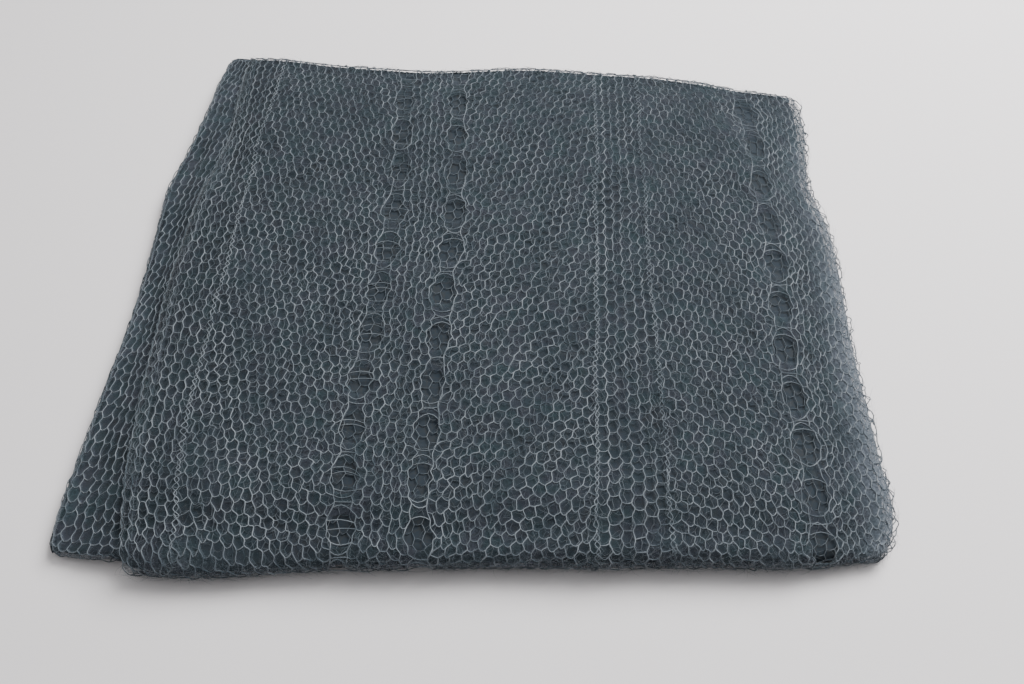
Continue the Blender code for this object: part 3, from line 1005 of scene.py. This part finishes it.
def core_depth(a, b):
    """Depth of the inner layers' face: below the outer walls, and noses beyond them."""
    _, _, out_x, out_y, _, _, turn = on_core(a, b)
    degrees = np.degrees(turn)
    under_fold = np.clip((panel_edge(b) - a) / UNDER_REACH, 0, 1)
    depth = LAYER + CORE_GAP + under_fold * LAYER * UNDER_FOLD + side_loosening(a, b, SINK)
    at_back = (out_y > 0) & (out_y >= np.abs(out_x)) & (degrees > BACK_NOSES_TURN)
    at_left = (out_x < 0) & (-out_x > np.abs(out_y)) & (degrees > LEFT_NOSES_TURN)
    depth = np.where(at_back, nose_depth(degrees, BACK_NOSES_TURN, BACK_LAYERS), depth)
    return np.where(at_left, nose_depth(degrees, LEFT_NOSES_TURN, LEFT_LAYERS), depth)


def add_node(tree, kind, inputs=None, **properties):
    """Shader node with its properties set and its inputs linked or given values."""
    node = tree.nodes.new(kind)
    node.location = (180 * len(tree.nodes), 0)
    for name, value in properties.items():
        setattr(node, name, value)
    for key, value in (inputs or {}).items():
        if isinstance(value, bpy.types.NodeSocket):
            tree.links.new(value, node.inputs[key])
        else:
            node.inputs[key].default_value = value
    return node


def math_node(tree, operation, first, second, third=0.0, clamp=False):
    """Result of a Math node on numbers or sockets."""
    inputs = {0: first, 1: second, 2: third}
    node = add_node(tree, "ShaderNodeMath", inputs, operation=operation, use_clamp=clamp)
    return node.outputs[0]


def product(tree, first, *factors):
    """Product of numbers or sockets."""
    for factor in factors:
        first = math_node(tree, "MULTIPLY", first, factor)
    return first


def tinted(colour, tint):
    """Colour with each part multiplied by the tint's."""
    return tuple(part * share for part, share in zip(colour, tint))


def mix_colour(tree, factor, first, second):
    """Blend by a factor socket of two colours, the first a colour or a socket."""
    if not isinstance(first, bpy.types.NodeSocket):
        first = (*first, 1)
    inputs = {0: factor, 6: first, 7: (*second, 1)}
    return add_node(tree, "ShaderNodeMix", inputs, data_type="RGBA").outputs[2]


def noise_value(tree, vector, scale, detail):
    """Noise value at a scale, on given coordinates."""
    inputs = {"Vector": vector, "Scale": scale, "Detail": detail}
    return add_node(tree, "ShaderNodeTexNoise", inputs).outputs["Fac"]


def group_tree(name, inputs, outputs):
    """New node group with named number sockets, its entry node and its result node."""
    tree = bpy.data.node_groups.new(name, "ShaderNodeTree")
    for socket, default in inputs.items():
        made = tree.interface.new_socket(socket, in_out="INPUT", socket_type="NodeSocketFloat")
        made.default_value = default
    for socket in outputs:
        tree.interface.new_socket(socket, in_out="OUTPUT", socket_type="NodeSocketFloat")
    return tree, tree.nodes.new("NodeGroupInput"), tree.nodes.new("NodeGroupOutput")


def fibre_group():
    """Brushed fibre: fine tufts, soft patches and smaller changes of hue."""
    name = "brushed_fibre"
    if name in bpy.data.node_groups:
        return bpy.data.node_groups[name]
    tree, entry, result = group_tree(name, {"Tuft Scale": 1500.0, "Patch Scale": 60.0},
                                     ("Tuft", "Patch", "Hue"))
    place = add_node(tree, "ShaderNodeTexCoord").outputs["Object"]
    tuft = noise_value(tree, place, entry.outputs["Tuft Scale"], 1.0)
    patch = noise_value(tree, place, entry.outputs["Patch Scale"], 2.0)
    hue = noise_value(tree, place, product(tree, entry.outputs["Patch Scale"], 2.2), 1.0)
    tree.links.new(hue, result.inputs["Hue"])
    tree.links.new(tuft, result.inputs["Tuft"])
    tree.links.new(patch, result.inputs["Patch"])
    return tree


def lower_net_group():
    """Net that shows dimly through a layer: thin lines between uneven cells of the cloth."""
    name = "lower_net"
    if name in bpy.data.node_groups:
        return bpy.data.node_groups[name]
    tree, entry, result = group_tree(name, {"Cell Scale": 16.0, "Line Width": 0.09}, ("Line",))
    uv = add_node(tree, "ShaderNodeUVMap", uv_map="cloth").outputs["UV"]
    inputs = {"Vector": uv, "Scale": entry.outputs["Cell Scale"], "Randomness": 0.6}
    cells = add_node(tree, "ShaderNodeTexVoronoi", inputs, feature="DISTANCE_TO_EDGE")
    near = math_node(tree, "DIVIDE", cells.outputs["Distance"], entry.outputs["Line Width"])
    line = math_node(tree, "SUBTRACT", 1.0, near, clamp=True)
    tree.links.new(line, result.inputs["Line"])
    return tree


def place_group(tree, group, values):
    """Node that uses a node group with its own values."""
    node = add_node(tree, "ShaderNodeGroup")
    node.node_tree = group
    for key, value in values.items():
        node.inputs[key].default_value = value
    return node


def plain_material(name, roughness, sheen):
    """Material with a Principled shader whose even values are on its own sockets."""
    material = bpy.data.materials.new(name)
    material.use_nodes = True
    shader = material.node_tree.nodes["Principled BSDF"]
    shader.inputs["Roughness"].default_value = roughness
    shader.inputs["Sheen Weight"].default_value = sheen
    shader.inputs["Sheen Roughness"].default_value = 0.5
    shader.inputs["Specular IOR Level"].default_value = 0.12
    return material, material.node_tree, shader


def yarn_material(name, dark, light, sheen):
    """Brushed yarn: dark core to silvery light by the strand's tone, with fine tufts."""
    material, tree, shader = plain_material(name, 0.8, sheen)
    fibre = place_group(tree, fibre_group(), {"Tuft Scale": 1500.0, "Patch Scale": 70.0})
    tone = add_node(tree, "ShaderNodeAttribute", attribute_name="tone").outputs["Fac"]
    tufts = math_node(tree, "MULTIPLY_ADD", fibre.outputs["Tuft"], *YARN_TUFT)
    patch = math_node(tree, "MULTIPLY_ADD", fibre.outputs["Patch"], *YARN_PATCH)
    shade = math_node(tree, "ADD", math_node(tree, "ADD", tone, tufts), patch, clamp=True)
    tree.links.new(mix_colour(tree, shade, dark, light), shader.inputs["Base Color"])
    return material


def film_material(name, colour, haze):
    """Haze of brushed fibre between the threads: mostly clear, thicker in soft patches.

    It is also thicker and paler at the rim, where the paleness is painted light on the
    loose fibre, and close beside the threads, where its outer face is occluded.
    """
    material, tree, shader = plain_material(name, 1.0, 0.15)
    fibre = place_group(tree, fibre_group(), {"Tuft Scale": 900.0, "Patch Scale": 38.0})
    hue = math_node(tree, "MULTIPLY_ADD", fibre.outputs["Hue"], *HAZE_HUE, clamp=True)
    rim = add_node(tree, "ShaderNodeAttribute", attribute_name="rim").outputs["Fac"]
    occlusion = add_node(tree, "ShaderNodeAmbientOcclusion", {"Distance": FUZZ_REACH}, samples=3)
    hidden = math_node(tree, "SUBTRACT", 1.0, occlusion.outputs["AO"])
    backfacing = add_node(tree, "ShaderNodeNewGeometry").outputs["Backfacing"]
    outer = math_node(tree, "SUBTRACT", 1.0, backfacing)
    hidden = math_node(tree, "MULTIPLY", hidden, FUZZ_CONTRAST, clamp=True)
    near = product(tree, hidden, outer)
    # The rim's paleness is painted light on the loose fibre
    paleness = math_node(tree, "MULTIPLY_ADD", near, FUZZ_LIGHT, rim, clamp=True)
    plain = mix_colour(tree, hue, tinted(colour, TEAL), tinted(colour, GREY))
    shade = mix_colour(tree, paleness, plain, tinted(colour, PALE))
    tree.links.new(shade, shader.inputs["Base Color"])
    patch = math_node(tree, "MULTIPLY_ADD", fibre.outputs["Patch"], *HAZE_PATCH, clamp=True)
    tuft = math_node(tree, "MULTIPLY_ADD", fibre.outputs["Tuft"], *HAZE_TUFT, clamp=True)
    at_rim = math_node(tree, "MULTIPLY_ADD", rim, product(tree, tuft, RIM_COVER), LEAST_COVER)
    cover = math_node(tree, "ADD", product(tree, patch, tuft, haze), at_rim)
    cover = math_node(tree, "ADD", cover, product(tree, near, FUZZ_COVER, tuft), clamp=True)
    tree.links.new(cover, shader.inputs["Alpha"])
    return material


def ground_material(name, dark, light):
    """Packed layers under the net: deep teal grey, where further threads show dimly."""
    material, tree, shader = plain_material(name, 0.95, 0.0)
    fibre = place_group(tree, fibre_group(), {"Tuft Scale": 700.0, "Patch Scale": 45.0})
    upper = place_group(tree, lower_net_group(), {"Cell Scale": 17.0, "Line Width": 0.10})
    lower = place_group(tree, lower_net_group(), {"Cell Scale": 23.0, "Line Width": 0.12})
    # Painted shade: the further threads are dim, the deeper net's lines dimmer than the nearer
    # net's
    nearer = product(tree, upper.outputs["Line"], 0.6)
    threads = math_node(tree, "MULTIPLY_ADD", lower.outputs["Line"], 0.35, nearer)
    mottled = math_node(tree, "MULTIPLY_ADD", fibre.outputs["Patch"], *GROUND_PATCH)
    tufted = math_node(tree, "MULTIPLY_ADD", fibre.outputs["Tuft"], 0.25, mottled)
    shade = math_node(tree, "ADD", threads, tufted, clamp=True)
    tree.links.new(mix_colour(tree, shade, dark, light), shader.inputs["Base Color"])
    return material


def made_material(name, maker, *values):
    """Material of that name, made once."""
    return bpy.data.materials.get(name) or maker(name, *values)


def top_yarn_material(settings):
    """Yarn of the outermost layer."""
    return made_material("top_yarn", yarn_material, settings.dark_yarn, settings.light_yarn, 0.22)


def under_yarn_material(settings):
    """Yarn of the layers below, which the haze and shade dull."""
    # Painted shade: the lower yarn's light fibres are dimmed and its sheen lowered
    light = tinted(settings.light_yarn, UNDER_PAINTED_SHADE)
    return made_material("under_yarn", yarn_material, settings.dark_yarn, light, 0.1)


def length_setting(name, description, default):
    """Property for a length."""
    return FloatProperty(name=name, description=description, default=default,
                         precision=6, unit="LENGTH")


def colour_setting(name, description, default):
    """Property for a colour."""
    return FloatVectorProperty(name=name, description=description, default=default,
                               subtype="COLOR")


class ShawlSettings(PropertyGroup):
    """Sizes and colours of the shawl."""

    stitch: length_setting("Stitch width", "Width of one stitch across the top", 0.00576)
    yarn_radius: length_setting("Yarn radius", "Half the thickness of the outer yarn", 0.00027)
    under_radius: length_setting(
        "Lower yarn radius", "Half the thickness of the lower net's yarn", 0.00026)
    unevenness: length_setting(
        "Unevenness", "How far the stitches drift from an even net", 0.0010)
    eyelet_push: length_setting(
        "Eyelet opening", "How far an eyelet pushes its two columns aside", 0.0048)
    under_depth: length_setting("Lower net depth", "Depth of the second layer's net", 0.0018)
    halo_count: IntProperty(
        name="Halo fibres", description="Loose fibres that stand off the yarn", default=9600)
    halo_length: length_setting("Halo length", "Usual length of a loose fibre", 0.0055)
    halo_radius: length_setting(
        "Halo fibre radius", "Half the thickness of a loose fibre", 0.00005)
    haze: FloatProperty(
        name="Haze", description="Cover of the brushed fibre between the threads",
        default=0.45, subtype="FACTOR", min=0, max=1)
    dark_yarn: colour_setting(
        "Dark yarn", "Colour of the yarn where it is least brushed", (0.028, 0.042, 0.054))
    light_yarn: colour_setting(
        "Light yarn", "Colour of the yarn's silvery fibres", (0.182, 0.205, 0.228))
    haze_colour: colour_setting(
        "Haze colour", "Colour of the fibre between the threads", (0.040, 0.053, 0.066))
    ground_colour: colour_setting(
        "Ground colour", "Colour of the packed layers below", (0.021, 0.029, 0.038))
    floor_colour: colour_setting(
        "Floor colour", "Colour of the pale surface", (0.785, 0.755, 0.760))


class SHAWL_OT_inner_layers(Operator):
    """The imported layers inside, one rounded stack with the layers' folded edges outside"""

    bl_idname = "shawl.inner_layers"
    bl_label = "Inner layers"

    def execute(self, context):
        settings = context.scene.shawl
        inside = np.linspace(0, 1, 110)
        turns = np.linspace(0, CORE_TURN, 24)
        back_turns = np.concatenate([[0, 30, 60], np.linspace(BACK_NOSES_TURN, CORE_TURN, 29)])
        left_turns = np.concatenate([np.linspace(0, 90, 10),
                                     np.linspace(LEFT_NOSES_TURN, CORE_TURN, 15)])
        columns = stations(left_turns[::-1], inside, turns)
        rows = stations(turns[::-1], inside, back_turns)
        a, b = packet_grid(columns, rows)
        points, _ = layer_point(a, b, core_depth(a, b), True)
        points = points.reshape(-1, 3)
        number = np.arange(len(points)).reshape(a.shape)
        rim = np.concatenate([number[0, :-1], number[:-1, -1],
                              number[-1, :0:-1], number[:0:-1, 0]])
        foot = points[rim] * np.array([1, 1, 0])
        base = len(points) + np.arange(len(rim))
        skirt = np.stack([np.roll(rim, -1), rim, base, np.roll(base, -1)], axis=-1)
        faces = [grid_quads(*a.shape), skirt, base[::-1][None, :]]
        # The ground's threads are the light yarn dimmed as painted shade
        light = tinted(settings.light_yarn, GROUND_PAINTED_SHADE)
        material = made_material("inner_ground", ground_material, settings.ground_colour, light)
        piece = new_mesh("inner_layers", np.concatenate([points, foot]), faces, material)
        store_cloth_uv(piece, np.concatenate([a.ravel(), a.ravel()[rim]]),
                       np.concatenate([b.ravel(), b.ravel()[rim]]))
        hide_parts("hidden_layers")
        return {"FINISHED"}


class SHAWL_OT_layer_edges(Operator):
    """Yarn of the inner layers' folded edges, at the back and at the left"""

    bl_idname = "shawl.layer_edges"
    bl_label = "Layer edges"

    def execute(self, context):
        settings = context.scene.shawl
        radius = settings.under_radius
        yarns = []
        for at_back, reach, first, layers, seed in EDGE_ROWS:
            along = np.linspace(-reach, reach, 210)
            turns = np.linspace(first, CORE_TURN - 2, layers * 6 + 1)
            rng = np.random.default_rng(seed)
            sway = EDGE_SWAY * np.where(np.arange(len(turns)) % 4 < 2, 1, -1)
            sway = sway * np.where(np.arange(len(along)) % 2 == 0, 1, -1)[:, None]
            place = along[:, None] + sway + EDGE_UNEVEN * rng.normal(size=sway.shape)
            if at_back:
                a, b = place, end_place(place, turns, True)
            else:
                a, b = side_place(place, turns, False), place
            values = [a, b, core_depth(a, b) - radius, radius * rng.uniform(0.8, 1.2, a.shape),
                      EDGE_TONE + EDGE_STITCH_TONE * rng.normal(size=a.shape)]
            results, joined = smooth_strands(values, np.ones(a.shape, dtype=bool), 1)
            points, normals = layer_point(*results[:3], False)
            yarns.append((points, normals, joined, *results[3:]))
        piece = yarn_mesh("layer_edges", joined_yarn(yarns), 4, under_yarn_material(settings))
        return {"FINISHED"}


class SHAWL_OT_left_fold(Operator):
    """The layer that shows beyond the top panel's left edge: its net and its haze"""

    bl_idname = "shawl.left_fold"
    bl_label = "Left fold"

    def execute(self, context):
        settings = context.scene.shawl
        b = half_row_place(HALF_ROWS)
        left = side_place(b + LEFT_DROPS[0], LEFT_TURN, False)
        right = panel_edge(b) + TUCK
        net = plain_net(left, right, LEFT_DROPS, LEFT_CELLS, 41, settings,
                        LEFT_FRONT_TURN, LIP_TURN)
        radius = settings.yarn_radius
        # The left fold's yarn is toned dimmer than the top's, as painted shade of a lower layer
        yarn = joined_yarn(net_yarn(net, (LAYER + radius, radius, LOWER_PAINTED_SHADE_TONE, 1, 3, 42), False))
        net_piece = yarn_mesh("left_net", yarn, 4, top_yarn_material(settings))
        columns = stations(np.linspace(LEFT_TURN, 0, 8), np.linspace(0, 1, 14), [])
        rows = stations(np.linspace(LEFT_FRONT_TURN, 0, 10), np.linspace(0, 1, 110),
                        np.linspace(0, LIP_TURN, 6))
        a, b = packet_grid(columns, rows, high_edge=lambda place: panel_edge(place) + TUCK)
        colour = tinted(settings.haze_colour, LOWER_HAZE)
        haze = made_material("lower_haze", film_material, colour, settings.haze)
        film = film_mesh("left_haze", a, b, LAYER + FILM_DEPTH, False, [], haze)
        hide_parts("left_fold")
        return {"FINISHED"}


class SHAWL_OT_under_net(Operator):
    """Net of the second layer, seen dimly between the threads of the first"""

    bl_idname = "shawl.under_net"
    bl_label = "Lower net"

    def execute(self, context):
        settings = context.scene.shawl
        b = half_row_place(HALF_ROWS)
        left = panel_edge(b) + UNDER_START
        right = side_place(b, UNDER_TURN, True)
        net = plain_net(left, right, UNDER_DROPS, UNDER_CELLS, 51, settings,
                        UNDER_TURN, UNDER_LIP_TURN)
        # The lower net's yarn is toned dimmer, as painted shade under the top layer
        look = (settings.under_depth, settings.under_radius, LOWER_PAINTED_SHADE_TONE, UNDER_LOFT, 2, 52)
        yarn = joined_yarn(net_yarn(net, look, True))
        piece = yarn_mesh("under_net", yarn, 3, under_yarn_material(settings))
        return {"FINISHED"}


class SHAWL_OT_top_panel(Operator):
    """The outermost layer: its net of yarn with eyelet columns, and its haze"""

    bl_idname = "shawl.top_panel"
    bl_label = "Top panel"

    def execute(self, context):
        settings = context.scene.shawl
        radius = settings.yarn_radius
        yarns = top_yarn(settings)
        lip_a = np.linspace(*LIP_RUN)
        lip = edge_yarn(lip_a, end_place(lip_a, LIP_TURN, True), radius, radius, LIP_TONE, 14)
        free_b = np.linspace(*FREE_RUN)
        free_a = panel_edge(free_b)
        # The free edge's strands are dim, the deepest dimmest, as painted shade along the edge
        free = [edge_yarn(free_a - aside, free_b, depth, radius, tone, seed)
                for aside, depth, tone, seed in FREE_EDGE]
        material = top_yarn_material(settings)
        first, second = in_halves(yarns[0])
        nets = [yarn_mesh("top_net_columns", first, 5, material),
                yarn_mesh("top_net_more_columns", second, 5, material),
                yarn_mesh("top_net_links", joined_yarn([*yarns[1:], lip, *free]), 4, material)]
        across = stations([], np.linspace(0, 1, 135), np.linspace(0, ROLL_TURN, 10))
        along = stations(np.linspace(ROLL_TURN, 0, 12), np.linspace(0, 1, 118),
                         np.linspace(0, LIP_TURN, 6))
        a, b = packet_grid(across, along, low_edge=panel_edge)
        haze = made_material("haze", film_material, settings.haze_colour, settings.haze)
        film = film_mesh("top_haze", a, b, FILM_DEPTH, True, eyelet_holes(settings), haze)
        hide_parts("top_panel")
        return {"FINISHED"}


class SHAWL_OT_halo(Operator):
    """Loose fibres of the brushed yarn, most at the packet's outline"""

    bl_idname = "shawl.halo"
    bl_label = "Halo"

    def execute(self, context):
        settings = context.scene.shawl
        rng = np.random.default_rng(61)
        points, normals = top_yarn(settings)[0][:2]
        steep = np.clip(1 - normals[:, 2], 0, 1) ** 2
        weight = 1 + steep * (HALO_STEEP + HALO_RIGHT * np.clip(normals[:, 0], 0, 1))
        weight[points[:, 2] < HALO_LOWEST] = 0
        count = settings.halo_count
        roots = rng.choice(len(points), count, replace=False, p=weight / weight.sum())
        root, normal = points[roots], normals[roots]
        across = unit(np.cross(normal, rng.normal(size=root.shape)))
        aside = np.cross(normal, across)
        length = settings.halo_length * rng.uniform(*HALO_LENGTHS, (count, 1, 1))
        lift = rng.uniform(*HALO_LIFTS, (count, 1, 1))
        bend = rng.normal(0, HALO_BEND, (count, 1, 1))
        steps = len(HALO_TAPER)
        t = np.linspace(0, 1, steps)[None, :, None]
        fibre = root[:, None] + length * (t * across[:, None] + bend * t * t * aside[:, None]
                                          + lift * t * (1 - 0.5 * t) * normal[:, None])
        fibre[..., 2] = np.maximum(fibre[..., 2], HALO_FLOOR)
        size = settings.halo_radius * np.tile(HALO_TAPER, count)
        tone = np.repeat(rng.uniform(*HALO_TONES, count), steps)
        yarn = (fibre.reshape(-1, 3), np.repeat(normal, steps, axis=0),
                even_joins(count, steps), size, tone)
        piece = yarn_mesh("halo", yarn, 3, top_yarn_material(settings))
        return {"FINISHED"}


class SHAWL_OT_stage(Operator):
    """Pale surface, soft light and a camera at the photograph's angle"""

    bl_idname = "shawl.stage"
    bl_label = "Stage"

    def execute(self, context):
        settings = context.scene.shawl
        material, _, shader = plain_material("pale_surface", 0.75, 0.0)
        shader.inputs["Base Color"].default_value = (*settings.floor_colour, 1)
        corners = [(FLOOR_HALF * x, FLOOR_HALF * y, 0)
                   for x, y in ((-1, -1), (1, -1), (1, 1), (-1, 1))]
        mesh = bpy.data.meshes.new("floor")
        mesh.from_pydata(corners, [], [(0, 1, 2, 3)])
        mesh.materials.append(material)
        floor = new_object("floor", mesh)
        for name, place, size, power in LAMPS:
            lamp = bpy.data.lights.new(name, "AREA")
            lamp.size = size
            lamp.energy = power
            holder = new_object(name, lamp)
            holder.location = place
            holder.rotation_euler = (-Vector(place)).to_track_quat("-Z", "Y").to_euler()
        world = bpy.data.worlds.new("studio")
        world.use_nodes = True
        background = world.node_tree.nodes["Background"]
        background.inputs["Color"].default_value = SKY_COLOUR
        background.inputs["Strength"].default_value = SKY_STRENGTH
        context.scene.world = world
        camera = bpy.data.cameras.new("camera")
        camera.lens = LENS
        camera.sensor_width = SENSOR
        camera.clip_start = NEAREST
        view = new_object("camera", camera)
        view.location = CAMERA_PLACE
        view.rotation_euler = (math.radians(CAMERA_TILT), 0, math.radians(CAMERA_TURN))
        context.scene.camera = view
        return {"FINISHED"}


class SHAWL_PT_panel(Panel):
    """Sizes, colours and pieces of the shawl"""

    bl_idname = "SHAWL_PT_panel"
    bl_label = "Lace shawl"
    bl_space_type = "VIEW_3D"
    bl_region_type = "UI"
    bl_category = "Shawl"

    def draw(self, context):
        settings = context.scene.shawl
        for name in ShawlSettings.__annotations__:
            self.layout.prop(settings, name)
        for operator in OPERATORS:
            self.layout.operator(operator.bl_idname)


OPERATORS = (SHAWL_OT_inner_layers, SHAWL_OT_layer_edges, SHAWL_OT_left_fold, SHAWL_OT_under_net,
             SHAWL_OT_top_panel, SHAWL_OT_halo, SHAWL_OT_stage)
CLASSES = (ShawlSettings, *OPERATORS, SHAWL_PT_panel)


def register():
    """Adds the classes and the scene's settings."""
    for added in CLASSES:
        bpy.utils.register_class(added)
    bpy.types.Scene.shawl = PointerProperty(type=ShawlSettings)


def unregister():
    """Removes the settings and the classes."""
    del bpy.types.Scene.shawl
    for added in reversed(CLASSES):
        bpy.utils.unregister_class(added)


def main():
    """Builds every piece and the stage."""
    register()
    bpy.ops.shawl.inner_layers()
    bpy.ops.shawl.layer_edges()
    bpy.ops.shawl.left_fold()
    bpy.ops.shawl.under_net()
    bpy.ops.shawl.top_panel()
    bpy.ops.shawl.halo()
    bpy.ops.shawl.stage()


if __name__ == "__main__":
    main()
